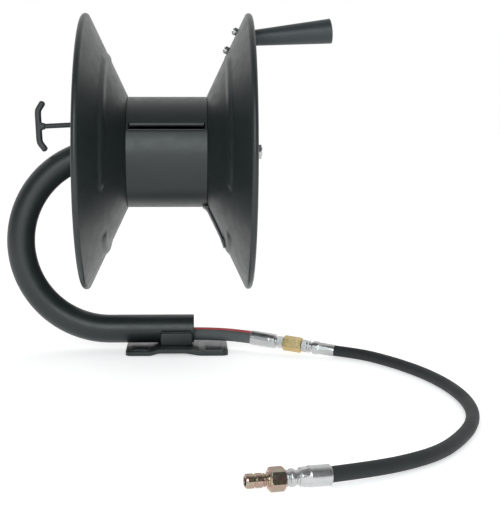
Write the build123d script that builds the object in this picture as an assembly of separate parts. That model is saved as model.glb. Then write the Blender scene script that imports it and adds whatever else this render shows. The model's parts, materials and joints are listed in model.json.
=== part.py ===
from build123d import *
from math import atan2, cos, degrees, hypot, pi, radians, sin, tan
import os

# Hose reel for high-pressure washing: a flanged drum on a cantilevered axle at the
# end of a curved pipe arm, with a hand crank, a T-handled lock pin, an inlet hose
# through the arm and a short whip hose with a quick-connect plug.
# Millimetres. +X runs along the drum's axle towards the crank, -Y is the front, +Z is
# up. The origin is the centre of the base plate's underside.

# ---- base -------------------------------------------------------------------------
PLATE_X, PLATE_Y, PLATE_T = 172.0, 132.0, 6.35
PLATE_RISE = 4.0                    # the pressed-up middle of the plate
RISE_LEFT, RISE_RIGHT = (-41.5, -33.5), (16.5, 37.0)   # where each ramp starts and ends
PLATE_CORNER = 10.0
SLOT_SPACING_X, SLOT_SPACING_Y = 124.0, 90.0
SLOT_LENGTH, SLOT_R = 28.0, 5.5
LUG_X, LUG_T, LUG_H, LUG_CENTRE_X = 54.0, 6.35, 21.0, -1.0
LUG_CORNER, WELD_R = 3.5, 3.6

# ---- arm pipe ---------------------------------------------------------------------
PIPE_R, PIPE_BORE_R = 24.15, 20.45
BEND_R = 152.4
BEND_X = -114.7                     # both ends of the half-circle bend
PIPE_MOUTH_X, PIPE_END_X = 29.0, -102.0
PLUG_LIP, PLUG_DEPTH = 6.0, 10.0            # the collar and the spigot of the arm's end plug
PIPE_Z = PLATE_T + PLATE_RISE + PIPE_R
AXIS_Z = PIPE_Z + 2 * BEND_R        # height of the drum's axle

# ---- drum -------------------------------------------------------------------------
DRUM_LEFT, DRUM_RIGHT = -82.9, 51.5         # inner faces of the two flanges
SHELL_R, SHELL_T = 94.0, 2.5
SLOT_CLOCK, SLOT_SPAN, SLOT_EDGE = 62.5, 9.5, 4.7     # hose slot in the drum's shell
FLANGE_R, FLANGE_T = 234.0, 2.0
CONE_START_R, CONE_SLOPE = 95.0, 0.474      # the cone leans out 0.474 mm per mm of radius
LEAN = hypot(1, CONE_SLOPE)
BEAD_R = 5.6                                # rolled edge
BEAD_WRAP = 265.0                           # degrees of the roll
RIB_R0, RIB_CREST_R, RIB_R1 = 154.0, 169.0, 177.5      # ribs pressed into the cone
RIB_RISE, RIB_SPAN, RIB_CLOCKS = 3.0, 90.0, (20.0, 140.0, 260.0)

# ---- axle and hubs ----------------------------------------------------------------
AXLE_R, RUNNING_GAP = 12.7, 0.05
AXLE_LEFT, AXLE_SHOULDER, AXLE_END = -112.0, 128.5, 146.0
STUD_R, NUT_LENGTH, NUT_AF = 8.0, 13.0, 24.0
THRUST_WASHER_R, END_WASHER_R, END_WASHER_T = 19.0, 15.0, 3.0
WATERWAY_R, PORT_R = 5.0, 3.5
BUSH_R = 15.7
HUB_R, HUB_FLANGE_R, HUB_FLANGE_T = 20.0, 42.0, 6.0
HUB_LEFT_END, HUB_RIGHT_END = -92.0, 127.9
LOCK_RING_R, LOCK_RING_BORE_R, LOCK_RING_T = 62.0, 22.0, 6.0
LOCK_HOLES, LOCK_HOLE_R = 12, 6.0
HUB_STEP_X, HUB_STEP_R, RIGHT_HUB_INNER_X = -44.0, 17.5, 20.0   # the left hub's step holds the swivel
HUB_BOLTS, HUB_BOLT_CIRCLE_R = 6, 34.0
SWIVEL_LEFT, SWIVEL_RIGHT, SWIVEL_R = -36.0, 2.0, 21.0
SWIVEL_PORT_X = -17.0
SEAL_OFFSET, SEAL_HALF, SEAL_DEPTH = 11.0, 1.8, 2.8
OUTLET_R, OUTLET_LENGTH, OUTLET_STEM_R = 8.4, 16.0, 8.0
OUTLET_HEX, OUTLET_AF = 14.0, 22.0
STRAP_T, STRAP_W, STRAP_GAP = 2.6, 24.0, 0.4
STRAP_CLOCK, STRAP_BEND_R, STRAP_END_R = 166.0, 146.0, 164.0

# ---- lock pin ---------------------------------------------------------------------
PIN_R, PIN_TILT = 4.25, 2.8
PIN_T_X, PIN_T_Z = -234.5, 382.4            # where the rod meets the T-handle
PIN_TIP_X = -93.2
GUIDE_LEFT, GUIDE_RIGHT, GUIDE_R = -130.0, -98.0, 9.0
GUIDE_WEB = (-122.0, -112.0)
GUIDE_WEB_W = 14.0
T_THICK, T_DEPTH = 10.6, 11.2
T_HALF, T_TIP_OUT, T_TIP_BACK = 26.7, 11.5, 8.2

# ---- crank ------------------------------------------------------------------------
GRIP_TILT = 5.1
GRIP_X, GRIP_AXIS_R = 127.0, 192.85         # inner end of the grip
GRIP_LENGTH, GRIP_R0, GRIP_R1 = 138.5, 13.3, 21.3
GRIP_BOLT_R = 5.0
BRACKET_T, BRACKET_W, BRACKET_GAP = 5.0, 30.0, 0.3
BRACKET_BOLT_RS = (170.0, 201.6)
BRACKET_R0, BRACKET_R1 = 159.0, 213.0
BOLT_R, HEX_AF, HEAD_T, NUT_T = 4.0, 12.7, 5.3, 6.5

# ---- hoses ------------------------------------------------------------------------
HOSE_R = 10.75
HOSE_REST_Z = PIPE_Z - PIPE_BORE_R + HOSE_R + 0.1
ARM_HOSE_LEFT, ARM_HOSE_RADII = -262.0, [125.0, 147.0]
ARM_FITTING = (-136.0, -118.0, -112.0)      # ferrule, then its hexagon against the axle
ARM_FERRULE_R, ARM_FITTING_AF = 12.0, 19.0
WHIP_R = 8.85
INLET_ROUTE = [
    (0.5, 0.0, 24.9), (28.5, 0.0, 24.9), (57.0, -1.3, 25.2), (82.0, -5.6, 25.3),
    (105.3, -13.1, 24.8), (127.5, -22.2, 23.6),
]
WHIP_ROUTE = [
    (262.9, -78.0, 10.3), (301.5, -100.0, 9.3), (329.0, -136.5, 9.0),
    (355.0, -184.0, 8.95), (378.0, -240.0, 8.95), (393.5, -300.0, 8.95),
    (401.5, -360.0, 8.95), (402.5, -419.0, 8.95), (395.0, -480.0, 8.95),
    (377.0, -540.0, 9.1), (349.0, -598.0, 9.5), (313.0, -655.0, 10.2),
    (264.0, -698.0, 11.3), (216.0, -725.5, 12.4), (177.0, -742.3, 13.0),
]
PLUG_TIP = (79.3, -766.5, 13.45)

# Turned fittings: (length, radius) of each step from the hose outwards.
INLET_LINE = {
    "inlet_ferrule": [(44.7, 11.6)],
    "inlet_nipple": [(2.0, 7.5), (11.0, "hex", 8.6)],
    "brass_coupling": [(32.7, "hex", 11.2)],
    "whip_nipple": [(14.5, "hex", 9.0), (4.5, 8.2)],
    "whip_ferrule_near": [(37.65, 11.1)],
}
OUTLET_LINE = {
    "whip_ferrule_far": [(36.5, 11.65), (2.5, 7.6)],
    "plug_nut": [(13.0, 10.2)],
    "quick_plug": [(23.0, "hex", 11.6), (7.0, 7.0), (18.7, 8.05)],
}


def turned(points):
    """Solid of revolution about the drum's axle, from (x, radius) corners."""
    outline = Polyline([(x, 0, r) for x, r in points], close=True)
    return Pos(0, 0, AXIS_Z) * revolve(make_face(outline), Axis.X, 360)


def ring(x0, x1, outer, bore=0.0):
    """Plain ring or disc on the axle."""
    return turned([(x0, bore), (x1, bore), (x1, outer), (x0, outer)])


def at_clock(angle, shape):
    """Turns a shape modelled at the top of the drum towards the front by an angle."""
    return Pos(0, 0, AXIS_Z) * Rot(angle, 0, 0) * Pos(0, 0, -AXIS_Z) * shape


def rod(start, end, radius):
    """Round bar between two points."""
    line = Vector(*end) - Vector(*start)
    plane = Plane(origin=start, z_dir=line)
    return extrude(plane * Circle(radius), line.length)


def bar_hex(start, direction, length, across_flats, turn=0.0):
    """Hexagonal bar from a point along a direction."""
    up = Vector(0, 0, 1) if abs(Vector(*direction).normalized().Z) < 0.9 else Vector(1, 0, 0)
    plane = Plane(origin=start, x_dir=Vector(*direction).cross(up), z_dir=direction)
    face = Rot(0, 0, turn) * RegularPolygon(across_flats / 2, 6, major_radius=False)
    return extrude(plane * face, length)


def strip(points, thick, width):
    """Bent flat bar whose centre line is given in XZ, with rounded ends and bends."""
    face = None
    for (x0, z0), (x1, z1) in zip(points, points[1:]):
        run = hypot(x1 - x0, z1 - z0)
        frame = Plane(origin=((x0 + x1) / 2, 0, (z0 + z1) / 2),
                      x_dir=(x1 - x0, 0, z1 - z0), z_dir=(0, -1, 0))
        piece = extrude(frame * SlotCenterToCenter(run, thick), width / 2, both=True)
        face = piece if face is None else face + piece
    return face


def arc_radii(route):
    """Largest arc at each corner of a hose's route: 0.45 of the shorter run."""
    radii = []
    for a, b, c in zip(route, route[1:], route[2:]):
        before, after = Vector(*b) - Vector(*a), Vector(*c) - Vector(*b)
        half_turn = radians(before.get_angle(after)) / 2
        radii.append(0.45 * min(before.length, after.length) / tan(half_turn))
    return radii


def hose(route, radius, radii=None):
    """Solid hose along straight runs joined by tangent arcs."""
    radii = radii or arc_radii(route)
    path = FilletPolyline(*route, radius=radii)
    start = Vector(*route[1]) - Vector(*route[0])
    tube = sweep(Plane(origin=route[0], z_dir=start) * Circle(radius), path)
    print("hose length", round(path.length, 1), "radii", [round(r) for r in radii],
          "volume ratio", round(tube.volume / (path.length * pi * radius ** 2), 4))
    return tube


# ---- frame ------------------------------------------------------------------------
def base_plate():
    half = PLATE_X / 2
    under = [(-half, 0), (RISE_LEFT[0], 0), (RISE_LEFT[1], PLATE_RISE),
             (RISE_RIGHT[0], PLATE_RISE), (RISE_RIGHT[1], 0), (half, 0)]
    over = [(x, z + PLATE_T) for x, z in reversed(under)]
    section = make_face(Polyline([(x, 0, z) for x, z in under + over], close=True))
    plate = extrude(section, PLATE_Y / 2, both=True)
    plate &= extrude(RectangleRounded(PLATE_X, PLATE_Y, PLATE_CORNER), 30)
    for x in (-SLOT_SPACING_X / 2, SLOT_SPACING_X / 2):
        for y in (-SLOT_SPACING_Y / 2, SLOT_SPACING_Y / 2):
            slot = SlotOverall(SLOT_LENGTH, 2 * SLOT_R)
            plate -= Pos(x, y, -1) * extrude(slot, 30)
    return plate


def lug(side):
    """Upright lug welded beside the pipe: side is -1 in front, +1 behind."""
    face = RectangleRounded(LUG_X, LUG_H, LUG_CORNER)
    plane = Plane(origin=(LUG_CENTRE_X, side * PIPE_R, PLATE_T + PLATE_RISE + LUG_H / 2),
                  x_dir=(1, 0, 0), z_dir=(0, side, 0))
    return extrude(plane * face, LUG_T)


def lug_welds(blocks):
    """Fillet beads in the notch between each lug and the pipe."""
    beads = []
    for side in (-1, 1):
        y = side * (PIPE_R + 1.6)
        z = PLATE_T + PLATE_RISE + LUG_H + 1.0
        half = LUG_X / 2 - 2
        bead = rod((LUG_CENTRE_X - half, y, z), (LUG_CENTRE_X + half, y, z), WELD_R)
        for block in blocks:
            bead -= block
        beads.append(max(bead.solids(), key=lambda s: s.volume))
    return Compound(children=beads)


def pipe_solid(radius, extra=0.0):
    """Solid along the arm's centre line: straight, half circle, straight."""
    lower = rod((BEND_X, 0, PIPE_Z), (PIPE_MOUTH_X + extra, 0, PIPE_Z), radius)
    upper = rod((BEND_X, 0, AXIS_Z), (PIPE_END_X + extra, 0, AXIS_Z), radius)
    centre_z = PIPE_Z + BEND_R
    section = Plane(origin=(BEND_X, 0, AXIS_Z), z_dir=(1, 0, 0)) * Circle(radius)
    bend = revolve(section, Axis((BEND_X, 0, centre_z), (0, -1, 0)), 180)
    return lower + bend + upper


def arm_plug():
    inner, outer = PIPE_END_X - PLUG_DEPTH, PIPE_END_X + PLUG_LIP
    return turned([(inner, AXLE_R), (outer, AXLE_R), (outer, PIPE_R),
                   (PIPE_END_X, PIPE_R), (PIPE_END_X, PIPE_BORE_R), (inner, PIPE_BORE_R)])


def axle():
    body = turned([(AXLE_LEFT, 0), (AXLE_END, 0), (AXLE_END, STUD_R), (AXLE_SHOULDER, STUD_R),
                   (AXLE_SHOULDER, AXLE_R), (AXLE_LEFT, AXLE_R)])
    body -= ring(AXLE_LEFT - 1, SWIVEL_PORT_X + 4, WATERWAY_R)
    for clock in (0, 90):
        port = rod((SWIVEL_PORT_X, 0, AXIS_Z - 20), (SWIVEL_PORT_X, 0, AXIS_Z + 20), PORT_R)
        body -= at_clock(clock, port)
    return body


def axle_nut():
    nut = bar_hex((AXLE_SHOULDER + END_WASHER_T, 0, AXIS_Z), (1, 0, 0), NUT_LENGTH, NUT_AF)
    return nut - ring(AXLE_SHOULDER, AXLE_END + 1, STUD_R)


def pin_height(x):
    """Height of the lock pin's tilted centre line."""
    return PIN_T_Z + (x - PIN_T_X) * tan(radians(PIN_TILT))


def along_pin(x0, x1, radius):
    return rod((x0, 0, pin_height(x0)), (x1, 0, pin_height(x1)), radius)


def pin_guide(pipe):
    """Lug on top of the arm with the tube that the lock pin slides in."""
    left, right = GUIDE_WEB
    middle = (left + right) / 2
    height = pin_height(middle) - AXIS_Z
    web = Pos(middle, 0, AXIS_Z + height / 2) * Box(right - left, GUIDE_WEB_W, height)
    guide = web + along_pin(GUIDE_LEFT, GUIDE_RIGHT, GUIDE_R)
    return guide - pipe - along_pin(GUIDE_LEFT - 10, GUIDE_RIGHT + 10, PIN_R + RUNNING_GAP)


# ---- drum -------------------------------------------------------------------------
def cone_x(r):
    """How far the flange's inner face has leaned out at a radius."""
    return CONE_SLOPE * (r - CONE_START_R)


def polar(centre, radius, angle):
    return (centre[0] + radius * cos(radians(angle)), 0,
            centre[1] + radius * sin(radians(angle)))


def flange_section():
    """Section of the right-hand flange from x = 0: hub disc, cone and rolled edge."""
    bead_r = FLANGE_R - BEAD_R
    centre = (cone_x(bead_r) + BEAD_R * LEAN, bead_r)
    start = degrees(atan2(CONE_SLOPE, -1))             # where the roll leaves the cone
    angles = (start, start - BEAD_WRAP / 2, start - BEAD_WRAP)
    outer = [polar(centre, BEAD_R, a) for a in angles]
    inner = [polar(centre, BEAD_R - FLANGE_T, a) for a in reversed(angles)]
    back = FLANGE_T * LEAN                             # axial thickness of the leaning sheet
    corner = CONE_START_R - (back - FLANGE_T) / CONE_SLOPE
    face = Polyline((0, 0, HUB_R), (0, 0, CONE_START_R), outer[0])
    rear = Polyline(inner[-1], (FLANGE_T, 0, corner),
                    (FLANGE_T, 0, HUB_R))
    outline = [face, ThreePointArc(*outer), Line(outer[-1], inner[0]), ThreePointArc(*inner), rear,
               Line((FLANGE_T, 0, HUB_R), (0, 0, HUB_R))]
    return make_face(outline)


def flange():
    """Right-hand flange on the X axis, its drum side at x = 0, with its pressed ribs."""
    body = revolve(flange_section(), Axis.X, 360)
    corners = [(cone_x(RIB_R0) + 1, RIB_R0), (cone_x(RIB_R0), RIB_R0),
               (cone_x(RIB_CREST_R) - RIB_RISE, RIB_CREST_R),
               (cone_x(RIB_R1), RIB_R1), (cone_x(RIB_R1) + 1, RIB_R1)]
    rib = make_face(Polyline([(x, 0, r) for x, r in corners], close=True))
    for clock in RIB_CLOCKS:
        body += Rot(clock, 0, 0) * revolve(rib, Axis.X, RIB_SPAN)
    return body


def lock_hole_cutter(shape):
    """Drills the ring of lock holes through a shape on the left hub."""
    middle = DRUM_LEFT - FLANGE_T - LOCK_RING_T / 2
    radius = pin_height(middle) - AXIS_Z
    for index in range(LOCK_HOLES):
        drill = rod((middle - 7, 0, AXIS_Z + radius), (middle + 8, 0, AXIS_Z + radius), LOCK_HOLE_R)
        shape -= at_clock(index * 360 / LOCK_HOLES, drill)
    return shape


def hub_bolt_clocks():
    return [15 + index * 360 / HUB_BOLTS for index in range(HUB_BOLTS)]


def drill_hub(shape):
    for clock in hub_bolt_clocks():
        z = AXIS_Z + HUB_BOLT_CIRCLE_R
        shape -= at_clock(clock, rod((-100, 0, z), (70, 0, z), BOLT_R))
    return shape


def hub_fasteners(head_x, nut_x, outward):
    """Six bolts with heads outside the flange, and their nuts inside the drum."""
    bolts, nuts = [], []
    z = AXIS_Z + HUB_BOLT_CIRCLE_R
    tip = nut_x - outward * (NUT_T + 2)
    for clock in hub_bolt_clocks():
        head = bar_hex((head_x, 0, z), (outward, 0, 0), HEAD_T, HEX_AF)
        bolts.append(at_clock(clock, head + rod((head_x, 0, z), (tip, 0, z), BOLT_R)))
        nut = bar_hex((nut_x, 0, z), (-outward, 0, 0), NUT_T, HEX_AF)
        nuts.append(at_clock(clock, nut - rod((head_x, 0, z), (tip, 0, z), BOLT_R)))
    return Compound(children=bolts), Compound(children=nuts)


def drum_shell():
    shell = ring(DRUM_LEFT, DRUM_RIGHT, SHELL_R, SHELL_R - SHELL_T)
    length = DRUM_RIGHT - DRUM_LEFT - 2 * SLOT_EDGE
    width = 2 * SHELL_R * sin(radians(SLOT_SPAN / 2))
    cut = Pos((DRUM_LEFT + DRUM_RIGHT) / 2, 0, AXIS_Z + SHELL_R) * Box(length, width, 20)
    return shell - at_clock(SLOT_CLOCK, cut)


def left_hub():
    x0 = DRUM_LEFT
    hub = turned([(HUB_LEFT_END, BUSH_R), (HUB_STEP_X, BUSH_R), (HUB_STEP_X, HUB_STEP_R),
                  (SWIVEL_LEFT, HUB_STEP_R), (SWIVEL_LEFT, HUB_R), (x0 + HUB_FLANGE_T, HUB_R),
                  (x0 + HUB_FLANGE_T, HUB_FLANGE_R), (x0, HUB_FLANGE_R), (x0, HUB_R),
                  (HUB_LEFT_END, HUB_R)])
    return drill_hub(hub)


def right_hub():
    x0 = DRUM_RIGHT
    hub = turned([(RIGHT_HUB_INNER_X, BUSH_R), (HUB_RIGHT_END, BUSH_R), (HUB_RIGHT_END, HUB_R), (x0, HUB_R),
                  (x0, HUB_FLANGE_R), (x0 - HUB_FLANGE_T, HUB_FLANGE_R),
                  (x0 - HUB_FLANGE_T, HUB_R), (RIGHT_HUB_INNER_X, HUB_R)])
    return drill_hub(hub)


def swivel_body():
    bore = AXLE_R + RUNNING_GAP
    first, second = seal_centres()
    outline = [(HUB_STEP_X, bore)]
    grooves = ((first, SEAL_HALF, SEAL_DEPTH), (SWIVEL_PORT_X, 5.0, 2.2), (second, SEAL_HALF, SEAL_DEPTH))
    for x, half, depth in grooves:
        outline += [(x - half, bore), (x - half, bore + depth), (x + half, bore + depth),
                    (x + half, bore)]
    outline += [(SWIVEL_RIGHT, bore), (SWIVEL_RIGHT, SWIVEL_R), (SWIVEL_LEFT, SWIVEL_R),
                (SWIVEL_LEFT, HUB_STEP_R), (HUB_STEP_X, HUB_STEP_R)]
    port = outlet_bar(OUTLET_STEM_R, AXLE_R + 2, SWIVEL_R + 2)
    return turned(outline) - at_clock(SLOT_CLOCK, port)


def outlet_bar(radius, start, end):
    """Bar along the swivel's outlet, at the top of the drum."""
    return rod((SWIVEL_PORT_X, 0, AXIS_Z + start), (SWIVEL_PORT_X, 0, AXIS_Z + end), radius)


def seal_centres():
    return [SWIVEL_PORT_X - SEAL_OFFSET, SWIVEL_PORT_X + SEAL_OFFSET]


def swivel_seals():
    bore = AXLE_R + RUNNING_GAP
    half, outer = SEAL_HALF - 0.1, bore + SEAL_DEPTH - 0.1
    return Compound(children=[ring(x - half, x + half, outer, bore) for x in seal_centres()])


def swivel_outlet():
    """Threaded nipple that the drum's own hose screws on, aimed at the shell's slot."""
    seat = SWIVEL_R + 0.6
    base = bar_hex((SWIVEL_PORT_X, 0, AXIS_Z + seat), (0, 0, 1), OUTLET_HEX, OUTLET_AF)
    nipple = base + outlet_bar(OUTLET_R, seat + OUTLET_HEX - 0.6, seat + OUTLET_HEX + OUTLET_LENGTH)
    nipple += outlet_bar(OUTLET_STEM_R, SWIVEL_R - 4.5, SWIVEL_R + 3)
    nipple -= outlet_bar(WATERWAY_R, 0.0, SWIVEL_R + 60)
    return at_clock(SLOT_CLOCK, nipple)


def hose_strap():
    """Strap on the right flange that carries the first wrap of hose up from the shell."""
    foot_r = SHELL_R + STRAP_T / 2 + 0.05
    stand_off = (STRAP_GAP + STRAP_T / 2) * LEAN
    climb = RIB_RISE * (STRAP_END_R - RIB_R0) / (RIB_CREST_R - RIB_R0)
    points = [(DRUM_RIGHT - 20, foot_r), (DRUM_RIGHT - 5, foot_r)]
    points += [(DRUM_RIGHT + cone_x(r) - stand_off - lift, r)
               for r, lift in ((foot_r + 6, 0.0), (STRAP_BEND_R, 0.0), (STRAP_END_R, climb + 0.4))]
    bent = strip([(x, AXIS_Z + r) for x, r in points], STRAP_T, STRAP_W)
    return at_clock(STRAP_CLOCK, bent)


# ---- crank ------------------------------------------------------------------------
def cone_back(r):
    """X of the right flange's outer face at a radius."""
    return DRUM_RIGHT + cone_x(r) + FLANGE_T * LEAN


def cone_point(r, out):
    """Point standing off the right flange's outer face, at the top of the drum."""
    return (cone_back(r) + out / LEAN, AXIS_Z + r - out * CONE_SLOPE / LEAN)


def grip_point(s):
    """Point on the grip's centre line, s along it from the grip's inner end."""
    angle = radians(GRIP_TILT)
    return (GRIP_X + s * cos(angle), 0, AXIS_Z + GRIP_AXIS_R + s * sin(angle))


def cone_bolt_line(r, start, end):
    """Ends of a bolt square to the cone: distances measured out from its outer face."""
    (x0, z0), (x1, z1) = cone_point(r, start), cone_point(r, end)
    return (x0, 0, z0), (x1, 0, z1)


def crank_bracket():
    mid = BRACKET_GAP + BRACKET_T / 2
    lean = radians(GRIP_TILT)
    leg_x, leg_z = grip_point(-0.6 - BRACKET_T / 2)[0], AXIS_Z + GRIP_AXIS_R
    top = (leg_x - 19 * sin(lean), leg_z + 19 * cos(lean))
    foot = (leg_x + 17 * sin(lean), leg_z - 17 * cos(lean))
    points = [cone_point(BRACKET_R0, mid), cone_point(BRACKET_R1, mid), top, foot]
    bracket = strip(points, BRACKET_T, BRACKET_W)
    for r in BRACKET_BOLT_RS:
        bracket -= rod(*cone_bolt_line(r, -10, 9), BOLT_R)
    return bracket - rod(grip_point(-15), grip_point(5), GRIP_BOLT_R)


def bracket_fasteners():
    bolts, nuts = [], []
    head_at = BRACKET_GAP + BRACKET_T
    drum_side = -FLANGE_T
    for r in BRACKET_BOLT_RS:
        base, _ = cone_bolt_line(r, head_at, head_at + 1)
        out = Vector(1, 0, -CONE_SLOPE)
        head = bar_hex(base, out, HEAD_T - 1.6, HEX_AF)
        shank = rod(*cone_bolt_line(r, head_at, drum_side - NUT_T - 2), BOLT_R)
        bolts.append(head + shank)
        seat, _ = cone_bolt_line(r, drum_side - 0.2, 0)
        nuts.append(bar_hex(seat, out * -1, NUT_T, HEX_AF) - shank)
    return Compound(children=bolts), Compound(children=nuts)


def grip_bolt():
    shank = rod(grip_point(-BRACKET_T - 0.6), grip_point(100), GRIP_BOLT_R)
    nut_start = grip_point(-BRACKET_T - 0.6)
    back = Vector(*grip_point(-1)) - Vector(*grip_point(0))
    return shank + bar_hex(nut_start, back, 3.4, 15.0)


def crank_grip():
    slope = (GRIP_R1 - GRIP_R0) / GRIP_LENGTH
    bulge = 3.0
    rim = GRIP_LENGTH - bulge
    outline = [(0, 0, 0), (0, 0, GRIP_R0 - 1.5), (1.5, 0, GRIP_R0),
               (rim, 0, GRIP_R0 + slope * rim), (GRIP_LENGTH - 0.8, 0, GRIP_R1 - 3),
               (GRIP_LENGTH, 0, GRIP_R1 * 0.5), (GRIP_LENGTH, 0, 0)]
    grip = revolve(make_face(Polyline(outline, close=True)), Axis.X, 360)
    placed = Pos(*grip_point(0)) * Rot(0, -GRIP_TILT, 0) * grip
    return placed - rod(grip_point(-1), grip_point(102), GRIP_BOLT_R + 0.08)


# ---- lock pin ---------------------------------------------------------------------
def t_handle():
    """Bow-shaped T across the end of the rod, with its horns bent towards the drum."""
    bow = [(T_TIP_BACK, T_HALF + T_TIP_OUT), (0, T_HALF), (0, -T_HALF),
           (T_TIP_BACK, -T_HALF - T_TIP_OUT)]
    body = strip(bow, T_THICK, T_DEPTH)
    body += rod((0, 0, 0), (T_THICK / 2 + 5, 0, 0), 6.2)
    body -= rod((0, 0, 0), (30, 0, 0), PIN_R)
    return Pos(PIN_T_X, 0, PIN_T_Z) * Rot(0, -PIN_TILT, 0) * body


# ---- hose fittings ----------------------------------------------------------------
def fitting_line(start, end, line, turn):
    """Turned and hexagonal steps one after another from start towards end."""
    direction = (Vector(*end) - Vector(*start)).normalized()
    station, pieces = 0.0, {}
    for name, steps in line.items():
        body = None
        for step in steps:
            at = Vector(*start) + direction * station
            if step[1] == "hex":
                piece = bar_hex(at, direction, step[0], 2 * step[2], turn)
            else:
                piece = rod(at, at + direction * step[0], step[1])
            body = piece if body is None else body + piece
            station += step[0]
        pieces[name] = body
    return pieces, station


def arm_fitting():
    """Hose end inside the arm, seated against the axle's hollow end."""
    left, step, right = ARM_FITTING
    hexagon = bar_hex((step, 0, AXIS_Z), (1, 0, 0), right - step, ARM_FITTING_AF)
    return ring(left, step, ARM_FERRULE_R) + hexagon


pipe = pipe_solid(PIPE_R)
lugs = {"front_lug": lug(-1), "rear_lug": lug(1)}
right_flange = Pos(DRUM_RIGHT, 0, AXIS_Z) * flange()
left_flange = Pos(DRUM_LEFT, 0, AXIS_Z) * mirror(flange(), Plane.YZ)
left_bolts, left_nuts = hub_fasteners(DRUM_LEFT - FLANGE_T - LOCK_RING_T,
                                      DRUM_LEFT + HUB_FLANGE_T, -1)
right_bolts, right_nuts = hub_fasteners(DRUM_RIGHT + FLANGE_T, DRUM_RIGHT - HUB_FLANGE_T, 1)
crank_bolts, crank_nuts = bracket_fasteners()
for radius in BRACKET_BOLT_RS:
    right_flange -= rod(*cone_bolt_line(radius, -10, 10), BOLT_R)
arm_hose_route = [(ARM_FITTING[0], 0, AXIS_Z), (ARM_HOSE_LEFT, 0, AXIS_Z),
                  (ARM_HOSE_LEFT, 0, HOSE_REST_Z), (INLET_ROUTE[0][0], 0, HOSE_REST_Z)]
inlet_pieces, inlet_length = fitting_line(INLET_ROUTE[-1], WHIP_ROUTE[0], INLET_LINE, 20)
outlet_pieces, outlet_length = fitting_line(WHIP_ROUTE[-1], PLUG_TIP, OUTLET_LINE, 30)
print("inlet line", inlet_length, (Vector(*WHIP_ROUTE[0]) - Vector(*INLET_ROUTE[-1])).length)
print("outlet line", outlet_length, (Vector(*PLUG_TIP) - Vector(*WHIP_ROUTE[-1])).length)

nodes = {
    "base_plate": base_plate(),
    **lugs,
    "arm_pipe": pipe - pipe_solid(PIPE_BORE_R, 1.0),
    "lug_welds": lug_welds([pipe, lugs["front_lug"], lugs["rear_lug"]]),
    "arm_plug": arm_plug(),
    "axle": axle(),
    "thrust_washer": ring(PIPE_END_X + PLUG_LIP, HUB_LEFT_END - 0.4, THRUST_WASHER_R, AXLE_R),
    "end_washer": ring(AXLE_SHOULDER, AXLE_SHOULDER + END_WASHER_T, END_WASHER_R, STUD_R),
    "axle_nut": axle_nut(),
    "pin_guide": pin_guide(pipe),
    "arm_fitting": arm_fitting(),
    "arm_hose": hose(arm_hose_route, HOSE_R, ARM_HOSE_RADII),
    "inlet_hose": hose(INLET_ROUTE, HOSE_R),
    **inlet_pieces,
    "whip_hose": hose(WHIP_ROUTE, WHIP_R),
    **outlet_pieces,
    "drum_shell": drum_shell(),
    "left_flange": drill_hub(lock_hole_cutter(left_flange)),
    "right_flange": drill_hub(right_flange),
    "left_hub": left_hub(),
    "right_hub": right_hub(),
    "left_bush": ring(-90.0, -58.0, BUSH_R, AXLE_R + RUNNING_GAP),
    "right_bush": ring(24.0, 54.0, BUSH_R, AXLE_R + RUNNING_GAP),
    "outer_bush": ring(98.0, HUB_RIGHT_END, BUSH_R, AXLE_R + RUNNING_GAP),
    "lock_ring": drill_hub(lock_hole_cutter(
        ring(DRUM_LEFT - FLANGE_T - LOCK_RING_T, DRUM_LEFT - FLANGE_T,
             LOCK_RING_R, LOCK_RING_BORE_R))),
    "left_hub_bolts": left_bolts,
    "left_hub_nuts": left_nuts,
    "right_hub_bolts": right_bolts,
    "right_hub_nuts": right_nuts,
    "swivel_body": swivel_body(),
    "swivel_seals": swivel_seals(),
    "swivel_outlet": swivel_outlet(),
    "hose_strap": hose_strap(),
    "crank_bracket": crank_bracket(),
    "bracket_bolts": crank_bolts,
    "bracket_nuts": crank_nuts,
    "grip_bolt": grip_bolt(),
    "crank_grip": crank_grip(),
    "lock_rod": along_pin(PIN_T_X, PIN_TIP_X, PIN_R),
    "t_handle": t_handle(),
}

os.makedirs("parts", exist_ok=True)
for name, shape in nodes.items():
    export_step(shape, f"parts/{name}.step")
print(len(nodes), "nodes")
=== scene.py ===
import json
from math import asin, ceil, cos, degrees, hypot, pi, radians, sin, tan

import bmesh
import bpy
from mathutils import Matrix, Vector, noise

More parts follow.
